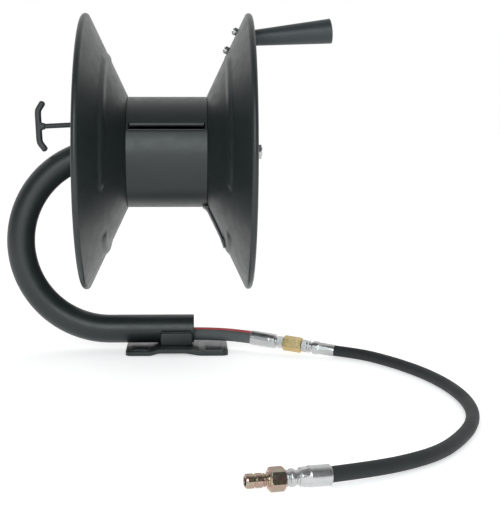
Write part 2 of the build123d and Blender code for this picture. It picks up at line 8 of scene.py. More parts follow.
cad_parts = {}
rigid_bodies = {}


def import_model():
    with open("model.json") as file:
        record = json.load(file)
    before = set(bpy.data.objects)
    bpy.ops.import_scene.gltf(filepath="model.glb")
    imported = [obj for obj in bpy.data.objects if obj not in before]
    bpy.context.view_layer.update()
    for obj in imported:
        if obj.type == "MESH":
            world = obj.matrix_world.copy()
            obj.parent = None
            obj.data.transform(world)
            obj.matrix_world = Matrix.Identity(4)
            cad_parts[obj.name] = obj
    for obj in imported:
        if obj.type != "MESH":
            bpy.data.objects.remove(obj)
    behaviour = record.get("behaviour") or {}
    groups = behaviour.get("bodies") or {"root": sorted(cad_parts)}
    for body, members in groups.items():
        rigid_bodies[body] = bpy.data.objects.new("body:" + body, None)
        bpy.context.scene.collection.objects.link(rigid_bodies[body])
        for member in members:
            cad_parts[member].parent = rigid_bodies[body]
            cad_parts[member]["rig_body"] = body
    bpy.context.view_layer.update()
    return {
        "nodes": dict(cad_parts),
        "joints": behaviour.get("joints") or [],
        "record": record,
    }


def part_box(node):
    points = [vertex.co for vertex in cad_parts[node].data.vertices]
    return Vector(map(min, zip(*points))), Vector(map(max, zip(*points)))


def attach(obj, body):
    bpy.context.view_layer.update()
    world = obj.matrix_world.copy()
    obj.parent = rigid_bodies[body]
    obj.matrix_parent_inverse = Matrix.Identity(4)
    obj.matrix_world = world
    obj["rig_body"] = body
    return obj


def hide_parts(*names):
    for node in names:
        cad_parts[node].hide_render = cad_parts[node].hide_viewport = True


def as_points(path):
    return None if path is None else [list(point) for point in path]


# High-pressure hose reel on a curved pipe arm. Metres. +X runs along the drum's axle
# towards the crank, -Y is the front, +Z is up, and the origin is under the base plate.

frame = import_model()

# ---- places, from the frame ---------------------------------------------------------
shell_low, shell_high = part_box("drum_shell")
AXIS_Z = (shell_low.z + shell_high.z) / 2
DRUM_LEFT, DRUM_RIGHT = shell_low.x, shell_high.x
SHELL_R = (shell_high.z - shell_low.z) / 2
flange_low, flange_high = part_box("right_flange")
FLANGE_R = (flange_high.z - flange_low.z) / 2
pipe_low, pipe_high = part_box("arm_pipe")
PIPE_R = (pipe_high.y - pipe_low.y) / 2
PIPE_Z = pipe_low.z + PIPE_R
PIPE_MOUTH_X = pipe_high.x
BEND_R = (AXIS_Z - PIPE_Z) / 2
BEND_X = pipe_low.x + PIPE_R + BEND_R
PLUG_LIP = 0.006
PIPE_END_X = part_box("arm_plug")[1].x - PLUG_LIP
JOINTS = {joint["name"]: joint for joint in frame["joints"]}
SLOT_OF = {row["node"]: row["material_slot"] for row in frame["record"]["subparts"]}
RIGHT, UP, BACK = Vector((1, 0, 0)), Vector((0, 0, 1)), Vector((0, 1, 0))

# ---- driving sizes -------------------------------------------------------------------
LENS, SENSOR_WIDTH, CAMERA_SHIFT = 80.87, 36.0, (0.0703, -0.1085)
CAMERA_PLACE, CAMERA_PITCH, CAMERA_YAW = (0.0205, -1.951, 0.4001), 4.15, 1.28
PIPE_WALL, BEND_SQUEEZE = 0.0037, 0.0007
FLANGE_T, CONE_START_R, CONE_SLOPE = 0.002, 0.095, 0.474
BEAD_R, BEAD_WRAP = 0.0056, 265.0
HUB_BORE_R = 0.020
RIB_R0, RIB_CREST_R, RIB_R1, RIB_RISE = 0.153, 0.1690, 0.1775, 0.0031
RIB_SPAN, RIB_CLOCKS, RIB_END = 90.0, (20.0, 140.0, 260.0), 0.014
SHELL_T, SLOT_CLOCK, SLOT_SPAN, SLOT_EDGE = 0.0025, 62.7, 9.9, 0.0047
SHELL_SINK, SHELL_PROUD = 0.0008, 0.0011        # above and below the slot
LIP_NOTCH, SILL_R, SILL_GAP = 0.0018, 0.0017, 0.0012
FOOT_FROM, FOOT_CUT = 0.015, 0.0135             # the strap's foot on the shell
PLATE_RISE, PLATE_RAMPS, RAMP_SOFTEN = 0.004, ((-0.0415, -0.0335), (0.0165, 0.037)), 0.006
PIN_R, LOCK_HOLES, LOCK_HOLE_R = 0.00425, 12, 0.006
T_THICK, T_DEPTH, T_END, T_SQUASH = 0.0108, 0.0112, 0.0047, 0.0052
GRIP_LENGTH, GRIP_R0, GRIP_R1, GRIP_BORE_R = 0.1385, 0.0133, 0.0213, 0.00508
GRIP_BORE_DEPTH, GRIP_DOME = 0.102, 0.003
HOSE_D, WHIP_D = 0.0218, 0.0177
STRIPE_TURN, STRIPE_FACES = 20.0, 6
PLUG_TIP = Vector((0.0793, -0.7665, 0.01345))

INLET_ROUTE = [
    (0.0, 0.0, 0.0252), (0.0285, 0.0, 0.0253), (0.0570, -0.0013, 0.0251),
    (0.0820, -0.0056, 0.0246), (0.1053, -0.0131, 0.0238), (0.1275, -0.0222, 0.0224),
]
WHIP_ROUTE = [
    (0.2629, -0.0780, 0.0103), (0.3015, -0.1000, 0.0093), (0.3290, -0.1365, 0.0090),
    (0.3550, -0.1840, 0.00895), (0.3780, -0.2400, 0.00895), (0.3935, -0.3000, 0.00895),
    (0.4015, -0.3600, 0.00895), (0.4025, -0.4190, 0.00895), (0.3950, -0.4800, 0.00895),
    (0.3770, -0.5400, 0.0091), (0.3490, -0.5980, 0.0095), (0.3130, -0.6550, 0.0102),
    (0.2640, -0.6980, 0.0113), (0.2160, -0.7255, 0.0124), (0.1729, -0.7433, 0.0130),
]


# ---- camera --------------------------------------------------------------------------
def make_camera():
    data = bpy.data.cameras.new("camera")
    camera = bpy.data.objects.new("camera", data)
    bpy.context.scene.collection.objects.link(camera)
    data.sensor_width = SENSOR_WIDTH
    data.lens = LENS
    data.shift_x, data.shift_y = CAMERA_SHIFT
    data.clip_end = 50.0
    camera.location = CAMERA_PLACE
    pitch, yaw = radians(CAMERA_PITCH), radians(CAMERA_YAW)
    camera.rotation_euler = (pi / 2 - pitch, 0, -yaw)
    bpy.context.scene.camera = camera


# ---- mesh helpers --------------------------------------------------------------------
def grid_faces(rows, columns, wrap_rows, wrap_columns):
    faces = []
    for i in range(rows if wrap_rows else rows - 1):
        for j in range(columns if wrap_columns else columns - 1):
            a, b = i * columns, (i + 1) % rows * columns
            c, d = j, (j + 1) % columns
            faces.append((a + c, b + c, b + d, a + d))
    return faces


def new_object(name, verts, faces):
    mesh = bpy.data.meshes.new(name)
    mesh.from_pydata([tuple(v) for v in verts], [], faces)
    piece = bpy.data.objects.new(name, mesh)
    bpy.context.scene.collection.objects.link(piece)
    return piece


def clean(piece, sharp):
    """Merges poles, turns the faces outwards and keeps only real edges sharp."""
    bm = bmesh.new()
    bm.from_mesh(piece.data)
    bmesh.ops.remove_doubles(bm, verts=bm.verts, dist=1e-7)
    bmesh.ops.recalc_face_normals(bm, faces=bm.faces)
    bm.to_mesh(piece.data)
    bm.free()
    piece.data.shade_smooth()
    piece.data.set_sharp_from_angle(angle=radians(sharp))


def finished(piece, slot, body, *nodes, sharp=32.0):
    """Gives a new piece its finish and its body, and hides the CAD nodes it stands for."""
    clean(piece, sharp)
    piece.data.materials.clear()
    piece.data.materials.append(FINISHES[slot])
    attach(piece, body)
    if nodes:
        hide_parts(*nodes)
    return piece


def applied(piece):
    """Applies every modifier to the piece's mesh."""
    graph = bpy.context.evaluated_depsgraph_get()
    baked = bpy.data.meshes.new_from_object(piece.evaluated_get(graph))
    piece.modifiers.clear()
    piece.data = baked
    return piece


def rounded(corners, steps=4):
    """Outline through (a, b, radius) corners, with an arc at each corner of that radius."""
    points = []
    last = len(corners) - 1
    for i, (a, b, radius) in enumerate(corners):
        here = Vector((a, b))
        if radius == 0 or i in (0, last):
            points.append((a, b))
            continue
        before = Vector(corners[i - 1][:2]) - here
        after = Vector(corners[i + 1][:2]) - here
        reach = radius / tan(before.angle(after) / 2)
        reach = min(reach, 0.49 * before.length, 0.49 * after.length)
        first, final = here + before.normalized() * reach, here + after.normalized() * reach
        for k in range(steps + 1):
            t = k / steps
            points.append(tuple(first * (1 - t) ** 2 + here * 2 * t * (1 - t) + final * t * t))
    return points


def dense(points, step):
    """Adds points so that no stretch of an outline is longer than a step."""
    out = [points[0]]
    for (a0, b0), (a1, b1) in zip(points, points[1:]):
        parts = max(1, ceil(hypot(a1 - a0, b1 - b0) / step))
        out += [(a0 + (a1 - a0) * k / parts, b0 + (b1 - b0) * k / parts)
                for k in range(1, parts + 1)]
    return out


def spun(profile, segments=96, radius_at=None, closed=False):
    """Profile of (station, radius) points spun about local Z, its angles from local X."""
    verts = []
    for station, radius in profile:
        for k in range(segments):
            angle = 2 * pi * k / segments
            r = radius_at(station, angle, radius) if radius_at else radius
            verts.append((r * cos(angle), r * sin(angle), station))
    return verts, grid_faces(len(profile), segments, closed, True)


def aimed(origin, direction, top):
    """Placing matrix: local Z along a direction and local X towards the top."""
    z = Vector(direction).normalized()
    x = (Vector(top) - Vector(top).dot(z) * z).normalized()
    matrix = Matrix((x, z.cross(x), z)).transposed().to_4x4()
    matrix.translation = origin
    return matrix


def placed(name, shape, matrix):
    verts, faces = shape
    return new_object(name, [matrix @ Vector(v) for v in verts], faces)


def on_axle(x=0.0, clock=0.0):
    """Frame on the drum's axle: local Z to the right, local X up, turned by a clock angle."""
    top = Matrix.Rotation(radians(clock), 3, "X") @ UP
    return aimed((x, 0, AXIS_Z), RIGHT, top)


def eased(t):
    t = min(max(t, 0.0), 1.0)
    return t * t * (3 - 2 * t)


# ---- materials -----------------------------------------------------------------------
def shader(name):
    material = bpy.data.materials.new(name)
    material.use_nodes = True
    nodes, links = material.node_tree.nodes, material.node_tree.links
    return material, nodes, links, nodes["Principled BSDF"]


def noise_node(nodes, links, scale, detail=3.0, rough=0.5, coordinate="Object", stretch=None):
    source = nodes.new("ShaderNodeTexCoord").outputs[coordinate]
    if stretch:
        mapping = nodes.new("ShaderNodeMapping")
        mapping.inputs["Scale"].default_value = stretch
        links.new(source, mapping.inputs["Vector"])
        source = mapping.outputs["Vector"]
    texture = nodes.new("ShaderNodeTexNoise")
    texture.inputs["Scale"].default_value = scale
    texture.inputs["Detail"].default_value = detail
    texture.inputs["Roughness"].default_value = rough
    links.new(source, texture.inputs["Vector"])
    return texture.outputs["Fac"]


def ramp_node(nodes, links, source, stops):
    ramp = nodes.new("ShaderNodeValToRGB")
    elements = ramp.color_ramp.elements
    while len(elements) < len(stops):
        elements.new(0.5)
    for element, (position, colour) in zip(elements, stops):
        element.position = position
        element.color = (*colour, 1)
    links.new(source, ramp.inputs["Fac"])
    return ramp.outputs["Color"]


def spread_node(nodes, links, source, low, high):
    spread = nodes.new("ShaderNodeMapRange")
    spread.inputs["From Min"].default_value = 0.3
    spread.inputs["From Max"].default_value = 0.7
    spread.inputs["To Min"].default_value = low
    spread.inputs["To Max"].default_value = high
    links.new(source, spread.inputs["Value"])
    return spread.outputs["Result"]


def bump_node(nodes, links, height, distance, strength=1.0, under=None):
    bump = nodes.new("ShaderNodeBump")
    bump.inputs["Distance"].default_value = distance
    bump.inputs["Strength"].default_value = strength
    links.new(height, bump.inputs["Height"])
    if under:
        links.new(under, bump.inputs["Normal"])
    return bump.outputs["Normal"]


def finish(name, stops, rough, mottle, grain, depth, metallic=0.0, stretch=None, peel=None):
    """Material whose colour and gloss vary over a mottle, with a fine grained surface.

    peel is a second, broader bump as (scale, depth), such as a coat's orange peel."""
    material, nodes, links, bsdf = shader(name)
    bsdf.inputs["Metallic"].default_value = metallic
    broad = noise_node(nodes, links, mottle, 4.0, 0.6, stretch=stretch)
    links.new(ramp_node(nodes, links, broad, stops), bsdf.inputs["Base Color"])
    patches = noise_node(nodes, links, mottle * 4, 3.0, 0.6, stretch=stretch)
    links.new(spread_node(nodes, links, patches, *rough), bsdf.inputs["Roughness"])
    fine = noise_node(nodes, links, grain, 2.0, 0.6, stretch=stretch)
    normal = bump_node(nodes, links, fine, depth)
    if peel:
        normal = bump_node(nodes, links, noise_node(nodes, links, peel[0], 2.0), peel[1],
                           under=normal)
    links.new(normal, bsdf.inputs["Normal"])
    return material


def hose_cover(name, stops, rough, wrap_depth, wrap_count, weave):
    """Rubber hose cover with the imprint of the cloth tape that it was cured in.

    Its texture coordinates run along the hose (U) and round it (V), in turns."""
    material, nodes, links, bsdf = shader(name)
    coordinate = nodes.new("ShaderNodeTexCoord").outputs["UV"]
    speckle = noise_node(nodes, links, 700.0, 3.0, 0.7)
    patches = noise_node(nodes, links, 35.0, 4.0, 0.6)
    blend = nodes.new("ShaderNodeMath")
    blend.operation = "MULTIPLY_ADD"
    blend.inputs[1].default_value = 0.45
    links.new(speckle, blend.inputs[0])
    links.new(patches, blend.inputs[2])
    links.new(ramp_node(nodes, links, blend.outputs[0], stops), bsdf.inputs["Base Color"])
    links.new(spread_node(nodes, links, patches, *rough), bsdf.inputs["Roughness"])
    heights = []
    for turn in (-1, 1):
        mapping = nodes.new("ShaderNodeMapping")
        mapping.inputs["Rotation"].default_value = (0, 0, radians(45 * turn))
        links.new(coordinate, mapping.inputs["Vector"])
        wave = nodes.new("ShaderNodeTexWave")
        wave.inputs["Scale"].default_value = weave
        links.new(mapping.outputs["Vector"], wave.inputs["Vector"])
        heights.append(wave.outputs["Fac"])
    cross = nodes.new("ShaderNodeMath")
    cross.operation = "MULTIPLY"
    links.new(heights[0], cross.inputs[0])
    links.new(heights[1], cross.inputs[1])
    tape = nodes.new("ShaderNodeTexWave")
    tape.wave_profile = "SAW"
    tape.inputs["Scale"].default_value = wrap_count
    tape.inputs["Distortion"].default_value = 1.5
    tape.inputs["Detail Scale"].default_value = 0.6
    links.new(coordinate, tape.inputs["Vector"])
    normal = bump_node(nodes, links, cross.outputs[0], 0.00025, 0.7)
    normal = bump_node(nodes, links, tape.outputs["Fac"], wrap_depth, under=normal)
    normal = bump_node(nodes, links, speckle, 0.0002, 0.6, under=normal)
    links.new(normal, bsdf.inputs["Normal"])
    return material


def grey(value, warm=0.0):
    return (value * (1 + warm), value, value * (1 - warm))


FINISHES = {
    "black_coat": finish(
        "black_coat", [(0.3, (0.0135, 0.0185, 0.0185)), (0.7, (0.0185, 0.0240, 0.0240))],
        (0.34, 0.44), 14.0, 1500.0, 0.000012, peel=(320.0, 0.00004)),
    "dark_cast": finish(
        "dark_cast", [(0.3, (0.020, 0.024, 0.025)), (0.7, (0.031, 0.035, 0.036))],
        (0.42, 0.56), 60.0, 900.0, 0.00005, peel=(220.0, 0.00009)),
    "axle_steel": finish(
        "axle_steel", [(0.3, grey(0.50)), (0.7, grey(0.60))],
        (0.2, 0.34), 20.0, 900.0, 0.000006, 1.0, stretch=(8, 1, 1)),
    "zinc": finish(
        "zinc", [(0.3, grey(0.48)), (0.55, grey(0.57)), (0.8, grey(0.66))],
        (0.26, 0.36), 40.0, 1400.0, 0.000003, 1.0),
    "yellow_zinc": finish(
        "yellow_zinc", [(0.30, (0.34, 0.26, 0.13)), (0.42, (0.40, 0.37, 0.24)),
                        (0.52, (0.44, 0.27, 0.25)), (0.62, (0.33, 0.35, 0.26)),
                        (0.75, (0.46, 0.36, 0.18))],
        (0.14, 0.26), 60.0, 1200.0, 0.000005, 1.0),
    "brass": finish(
        "brass", [(0.3, (0.47, 0.36, 0.17)), (0.7, (0.62, 0.49, 0.26))],
        (0.24, 0.34), 40.0, 1100.0, 0.000003, 1.0),
    "grey_hose": hose_cover(
        "grey_hose", [(0.35, (0.072, 0.082, 0.083)), (0.85, (0.112, 0.124, 0.124))],
        (0.62, 0.8), 0.0001, 0.25, 7.0),
    "red_line": hose_cover(
        "red_line", [(0.4, (0.52, 0.050, 0.055)), (0.8, (0.68, 0.080, 0.085))],
        (0.55, 0.7), 0.0001, 0.25, 7.0),
    "black_hose": hose_cover(
        "black_hose", [(0.35, (0.007, 0.0095, 0.010)), (0.85, (0.016, 0.020, 0.021))],
        (0.62, 0.78), 0.0002, 0.35, 9.0),
    "seal_rubber": finish(
        "seal_rubber", [(0.3, grey(0.016)), (0.7, grey(0.022))],
        (0.5, 0.6), 80.0, 900.0, 0.00004),
    "bush_nylon": finish(
        "bush_nylon", [(0.3, (0.62, 0.60, 0.53)), (0.7, (0.70, 0.68, 0.62))],
        (0.4, 0.5), 50.0, 900.0, 0.00004),
    "grip_plastic": finish(
        "grip_plastic", [(0.3, (0.026, 0.034, 0.036)), (0.7, (0.034, 0.043, 0.045))],
        (0.42, 0.52), 30.0, 1600.0, 0.00002, peel=(500.0, 0.00002)),
}


# ---- cords ---------------------------------------------------------------------------
def smooth_line(route):
    """Points along the smooth NURBS line of a hose's route."""
    curve = bpy.data.curves.new("route", "CURVE")
    curve.dimensions = "3D"
    spline = curve.splines.new("NURBS")
    spline.points.add(len(route) - 1)
    for point, place in zip(spline.points, route):
        point.co = (*place, 1)
    spline.order_u = 3
    spline.use_endpoint_u = True
    spline.resolution_u = 16
    holder = bpy.data.objects.new("route", curve)
    bpy.context.scene.collection.objects.link(holder)
    bpy.context.view_layer.update()
    mesh = bpy.data.meshes.new_from_object(holder)
    points = [v.co.copy() for v in mesh.vertices]
    bpy.data.objects.remove(holder)
    return points


def hose_tube(name, points, radius, segments):
    """Closed tube along a line, with texture coordinates along it and round it."""
    verts, lengths, run = [], [], 0.0
    for i, point in enumerate(points):
        ahead = points[min(i + 1, len(points) - 1)] - points[max(i - 1, 0)]
        along = ahead.normalized()
        top = (UP - UP.dot(along) * along).normalized()
        side = along.cross(top)
        run += (point - points[i - 1]).length if i else 0.0
        lengths.append(run)
        for k in range(segments):
            angle = 2 * pi * k / segments
            verts.append(point + radius * (cos(angle) * top + sin(angle) * side))
    faces = grid_faces(len(points), segments, False, True)
    last = (len(points) - 1) * segments
    faces += [tuple(range(segments)), tuple(range(last, last + segments))]
    tube = new_object(name, verts, faces)
    turns = tube.data.uv_layers.new(name="along")
    for polygon in tube.data.polygons:
        columns = [tube.data.loops[i].vertex_index % segments for i in polygon.loop_indices]
        for loop, column in zip(polygon.loop_indices, columns):
            row = tube.data.loops[loop].vertex_index // segments
            lap = column + (segments if column == 0 and max(columns) == segments - 1 else 0)
            turns.data[loop].uv = (lengths[row] / (2 * pi * radius), lap / segments)
    return tube


def inlet_hose():
    points = smooth_line(INLET_ROUTE)
    segments = 60
    tube = hose_tube("inlet_hose_tube", points, HOSE_D / 2, segments)
    finished(tube, "grey_hose", "frame", "inlet_hose")
    tube.data.materials.append(FINISHES["red_line"])
    middle = round(STRIPE_TURN / 360 * segments)
    for polygon in tube.data.polygons:
        if len(polygon.vertices) > 4:
            continue
        column = polygon.index % segments
        off = (column - middle + segments // 2) % segments - segments // 2
        if -STRIPE_FACES // 2 <= off < STRIPE_FACES // 2:
            polygon.material_index = 1
    return tube, points


def whip_hose():
    points = smooth_line(WHIP_ROUTE)
    tube = hose_tube("whip_hose_tube", points, WHIP_D / 2, 48)
    return finished(tube, "black_hose", "frame", "whip_hose"), points


# ---- turned fittings -----------------------------------------------------------------
def fitting_radius(hexes=(), flats=()):
    """Radius rule for a turned bar: hexes are (start, end, half across flats), flats are
    crimped stretches (start, end, half across flats, count)."""
    def rule(station, angle, radius):
        for start, end, half in hexes:
            if start - 1e-6 <= station <= end + 1e-6:
                corner = (angle + pi / 6) % (pi / 3) - pi / 6
                radius = min(radius, half / cos(pi / 6 - abs(corner)))
        for start, end, half, count in flats:
            if start <= station <= end:
                step = 2 * pi / count
                fade = eased(min(station - start, end - station) / 0.0015)
                flat = half / cos((angle + step / 2) % step - step / 2)
                radius = radius + (min(radius, flat) - radius) * fade
        return radius
    return rule


def millimetres(corners):
    return [tuple(value * 0.001 for value in corner) for corner in corners]


def fitting(node, origin, direction, top, corners, hexes=(), flats=(), slot=None, step=0.0008):
    """One turned fitting. Corners are (station, radius, rounding) in millimetres, stations
    from its end nearer the start of its line, and its profile may turn back as a bore."""
    profile = dense(rounded(millimetres(corners), 3), step)
    crimps = [(*[value * 0.001 for value in row[:3]], row[3]) for row in flats]
    rule = fitting_radius(millimetres(hexes), crimps)
    shape = spun(profile, 96, rule)
    piece = placed(node + "_turned", shape, aimed(origin, direction, top))
    return finished(piece, slot or SLOT_OF[node], "frame", node, sharp=24.0)


def inlet_fittings():
    start, end = Vector(INLET_ROUTE[-1]), Vector(WHIP_ROUTE[0])
    along = (end - start).normalized()
    tilt = radians(15)
    top = UP * cos(tilt) + UP.cross(along) * sin(tilt)

    def at(station):
        return start + along * station * 0.001

    ferrule = fitting("inlet_ferrule", at(0), along, top, [
        (0, 0, 0), (0, 11.6, 0.3), (0.8, 12.3, 0.5), (33, 12.3, 1), (35, 12.1, 1),
        (42.6, 12.0, 1.0), (44.7, 10.0, 0.5), (44.7, 0, 0)])
    nipple = fitting("inlet_nipple", at(44.7), along, top, [
        (-0.4, 0, 0), (-0.4, 7.5, 0), (2.0, 7.5, 0.2), (2.0, 8.6, 0), (3.0, 9.9, 0.2),
        (12.0, 9.9, 0.2), (13.0, 8.7, 0), (13.0, 0, 0)], hexes=[(2.0, 13.0, 8.6)])
    coupling = fitting("brass_coupling", at(57.7), along, top, [
        (0, 0, 0), (0, 9.9, 0.2), (1.6, 12.9, 0.3), (12.4, 12.9, 0.2), (13.0, 12.3, 0.2),
        (13.6, 12.9, 0.2), (31.0, 12.9, 0.3), (32.7, 9.9, 0.2), (32.7, 0, 0)],
        hexes=[(0, 32.7, 11.2)])
    nut = fitting("whip_nipple", at(90.4), along, top, [
        (0, 0, 0), (0, 8.6, 0.2), (1.1, 10.4, 0.2), (8.2, 10.4, 0.2), (9.2, 8.7, 0.3),
        (9.8, 8.1, 0.2), (10.6, 8.6, 0.2), (11.6, 10.4, 0.2), (13.6, 10.4, 0.2),
        (14.5, 8.6, 0.2), (14.5, 8.2, 0.2), (19.0, 8.2, 0), (19.0, 0, 0)], hexes=[(0, 14.5, 9.0)])
    sleeve = fitting("whip_ferrule_near", at(109.4), along, top, [
        (0, 0, 0), (0, 9.2, 0.3), (1.0, 11.1, 0.6), (9.0, 11.1, 1.5), (12.0, 10.6, 2.0),
        (35.0, 9.9, 1.0), (37.65, 9.7, 0.5), (37.65, 0, 0)],
        flats=[(9.5, 36.5, 9.95, 8)])
    return [ferrule, nipple, coupling, nut, sleeve]


def outlet_fittings():
    start = Vector(WHIP_ROUTE[-1])
    along = (PLUG_TIP - start).normalized()
    tilt = radians(40)
    top = UP * cos(tilt) + UP.cross(along) * sin(tilt)

    def at(station):
        return start + along * station * 0.001

    sleeve = fitting("whip_ferrule_far", at(0), along, UP, [
        (0, 0, 0), (0, 10.8, 0.4), (0.9, 11.65, 0.5), (24.0, 11.65, 2.0), (27.0, 11.1, 2.0),
        (34.5, 10.5, 1.0), (36.5, 9.0, 0.6), (36.5, 7.6, 0.3), (39.0, 7.6, 0), (39.0, 0, 0)],
        flats=[(25.0, 35.6, 10.35, 8)])
    nut = fitting("plug_nut", at(39.0), along, UP, [
        (0, 0, 0), (0, 7.9, 0.4), (1.6, 9.4, 2.0), (4.6, 10.2, 3.5), (7.6, 9.7, 2.0),
        (8.6, 8.4, 0.5), (9.6, 8.4, 0.5), (10.4, 9.2, 0.5), (12.0, 9.0, 0.8),
        (13.0, 8.2, 0.2), (13.0, 0, 0)], flats=[(0.6, 8.4, 9.75, 6)])
    plug = fitting("quick_plug", at(52.0), along, top, [
        (0, 0, 0), (0, 10.3, 0.3), (2.2, 13.4, 0.4), (16.4, 13.4, 0.4), (18.8, 10.2, 0.3),
        (18.8, 8.0, 0.3), (20.0, 7.9, 0.3), (20.6, 6.7, 0.3), (22.0, 6.7, 0.3), (22.7, 7.4, 0.3),
        (23.9, 7.4, 0.3), (24.5, 6.6, 0.3), (25.4, 6.6, 0.3), (26.2, 8.05, 0.4), (32.4, 8.05, 0.4),
        (33.2, 7.0, 0.4), (34.8, 7.0, 0.4), (35.6, 8.05, 0.4), (42.4, 8.05, 0.8), (44.5, 6.9, 0.4),
        (44.5, 5.3, 0.5), (43.6, 4.9, 0.2), (29.8, 4.9, 0), (29.8, 0, 0)],
        hexes=[(0, 18.8, 11.6)], step=0.0006)
    return [sleeve, nut, plug]


def cords():
    tube, points = inlet_hose()
    inlet_fittings()
    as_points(points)
    tube, points = whip_hose()
    outlet_fittings()
    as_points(points)


# ---- drum ----------------------------------------------------------------------------
def cone_x(r):
    return CONE_SLOPE * (r - CONE_START_R)


def rib_rise(r, clock):
    """How far the pressed ribs stand proud of the cone, at a radius and a clock angle."""
    inner, outer = RIB_CREST_R - RIB_R0, RIB_R1 - RIB_CREST_R
    rise = 0.0
    for start in RIB_CLOCKS:
        off = abs((clock - start - RIB_SPAN / 2 + 180) % 360 - 180)
        along = max(radians(off - RIB_SPAN / 2) * r + RIB_END, 0) / RIB_END
        across = (RIB_CREST_R - r) / inner if r < RIB_CREST_R else (r - RIB_CREST_R) / outer
        rise = max(rise, RIB_RISE * eased(1 - hypot(along, across)))
    return rise


def flange_profile():
    """Closed outline of a flange as (how far out, radius), from the drum's end outwards."""
    lean = hypot(1, CONE_SLOPE)
    bead_r = FLANGE_R - BEAD_R
    centre = (cone_x(bead_r) + BEAD_R * lean, bead_r)
    start = pi - asin(CONE_SLOPE / lean)
    turns = [start - radians(BEAD_WRAP) * k / 40 for k in range(41)]
    outer = [(centre[0] + BEAD_R * cos(a), centre[1] + BEAD_R * sin(a)) for a in turns]
    thin = BEAD_R - FLANGE_T
    inner = [(centre[0] + thin * cos(a), centre[1] + thin * sin(a)) for a in reversed(turns)]
    back = FLANGE_T * lean
    corner = CONE_START_R - (back - FLANGE_T) / CONE_SLOPE
    front = rounded([(0, HUB_BORE_R, 0), (0, CONE_START_R, 0.004), (*outer[0], 0)])
    rear = rounded([(*inner[-1], 0), (FLANGE_T, corner, 0.005), (FLANGE_T, HUB_BORE_R, 0)])
    return dense(front, 0.0015)[:-1] + outer + inner + dense(rear, 0.0015)[1:]


def flange(name, x, side):
    """Spun steel flange with pressed ribs: side is 1 on the right and -1 on the left."""
    segments = 360
    profile = flange_profile()
    verts = []
    for out, r in profile:
        for k in range(segments):
            clock = 360 * k / segments
            station = out - rib_rise(r, clock)
            verts.append((r * cos(radians(clock)), r * sin(radians(clock)), side * station))
    faces = grid_faces(len(profile), segments, True, True)
    return placed(name, (verts, faces), on_axle(x))


def bored(piece, cutters):
    """Cuts closed shapes out of a piece."""
    for cutter in cutters:
        clean(cutter, 30)
        cut = piece.modifiers.new("cut", "BOOLEAN")
        cut.operation = "DIFFERENCE"
        cut.solver = "EXACT"
        cut.object = cutter
    clean(piece, 30)
    applied(piece)
    for cutter in cutters:
        bpy.data.objects.remove(cutter)
    return piece


def lock_hole_cutter():
    """Round bars through the left flange where the lock ring has its holes."""
    ring_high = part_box("lock_ring")[1]
    rod_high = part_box("lock_rod")[1].z
    radius = rod_high - PIN_R - AXIS_Z
    length, inset = 0.02, 0.005
    verts, faces = [], []
    for k in range(LOCK_HOLES):
        bar, bar_faces = spun([(0, 0), (0, LOCK_HOLE_R), (length, LOCK_HOLE_R), (length, 0)], 24)
        turn = on_axle(ring_high.x - inset, 360 // LOCK_HOLES * k)
        turn = turn @ Matrix.Translation((radius, 0, 0))
        faces += [tuple(i + len(verts) for i in face) for face in bar_faces]
        verts += [turn @ Vector(v) for v in bar]
    return new_object("lock_hole_cutter", verts, faces)


def drum_flanges():
    left = flange("left_flange_spun", DRUM_LEFT, -1)
    bored(left, [lock_hole_cutter()])
    finished(left, "black_coat", "drum", "left_flange", sharp=40)
    right = flange("right_flange_spun", DRUM_RIGHT, 1)
    finished(right, "black_coat", "drum", "right_flange", sharp=40)


def shell_radius(clock):
    """Outer radius of the rolled shell: its free edge below the slot stands a little proud."""
    above, below = SHELL_R - SHELL_SINK, SHELL_R + SHELL_PROUD
    past = (clock - SLOT_CLOCK) % 360 / 360
    edge = eased(((clock - SLOT_CLOCK + 180) % 360 - 180) / SLOT_SPAN + 0.5)
    if past < 0.02 or past > 0.98:
        return above + (below - above) * edge
    return below + (above - below) * past


def drum_shell():
    left, right = DRUM_LEFT + 0.0002, DRUM_RIGHT - 0.0002
    outline = [(left, -SHELL_T), (left, -0.0006), (left + 0.0006, 0.0), (right - 0.0006, 0.0),
               (right, -0.0006), (right, -SHELL_T)]
    verts = []
    segments = 360
    for x, depth in outline:
        for k in range(segments):
            r = shell_radius(360 * k / segments) + depth
            verts.append((r * cos(2 * pi * k / segments), r * sin(2 * pi * k / segments), x))
    faces = grid_faces(len(outline), segments, True, True)
    shell = placed("drum_shell_rolled", (verts, faces), on_axle())
    half = SHELL_R * sin(radians(SLOT_SPAN / 2))
    box_low = (SHELL_R - 0.02, -half, DRUM_LEFT + SLOT_EDGE)
    box_high = (SHELL_R + 0.02, half, DRUM_RIGHT - SLOT_EDGE)
    cutter = placed("slot_cutter", box_shape(box_low, box_high), on_axle(0, SLOT_CLOCK))
    bored(shell, [cutter])
    finished(shell, "black_coat", "drum", "drum_shell")


def box_shape(low, high):
    verts = [(x, y, z) for x in (low[0], high[0]) for y in (low[1], high[1])
             for z in (low[2], high[2])]
    faces = [(0, 1, 3, 2), (4, 6, 7, 5), (0, 4, 5, 1), (2, 3, 7, 6), (0, 2, 6, 4), (1, 5, 7, 3)]
    return verts, faces


def extruded(section, x0, x1):
    """Bar of one section along local Z: the section is (up, front) points."""
    verts = [(a, b, x0) for a, b in section] + [(a, b, x1) for a, b in section]
    count = len(section)
    faces = [(i, (i + 1) % count, count + (i + 1) % count, count + i) for i in range(count)]
    faces += [tuple(range(count)), tuple(range(count, 2 * count))]
    return verts, faces


